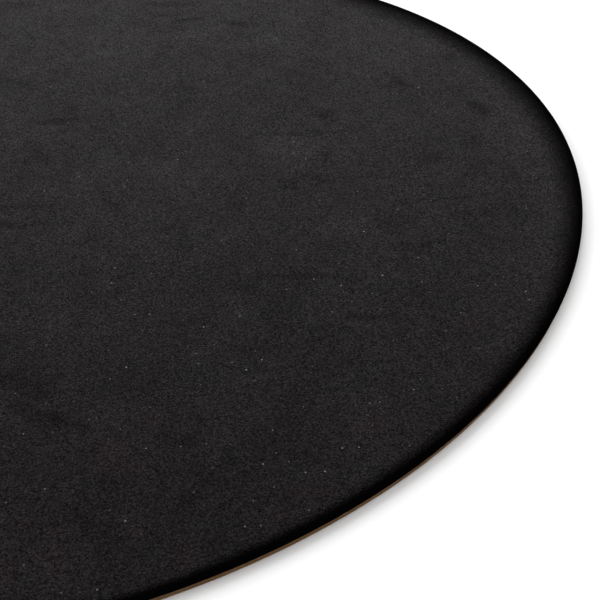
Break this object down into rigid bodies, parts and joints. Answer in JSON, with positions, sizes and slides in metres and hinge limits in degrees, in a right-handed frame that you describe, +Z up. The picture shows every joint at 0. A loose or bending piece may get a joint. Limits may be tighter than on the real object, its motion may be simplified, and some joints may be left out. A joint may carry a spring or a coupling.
{
  "type": "practice pad",
  "caption": "Thin round practice pad: a black fine-grained rubber playing sheet with a rounded edge, bonded to a slightly smaller thin brown base board.",
  "frame": {"origin": "centre of the board's underside, which rests on the table", "axes": "+Z up out of the playing surface; the pad is round about Z, so X and Y are equal"},
  "size_m": [0.33, 0.33, 0.0035],
  "materials": {
    "black_rubber": "matte, fine grain, faint cloudy marks",
    "adhesive_film": "satin",
    "fibreboard": "plain cut wood-fibre board, unpainted"
  },
  "bodies": {
    "root": {"playing_surface": "black_rubber", "bond_film": "adhesive_film", "base_board": "fibreboard"}
  },
  "joints": []
}
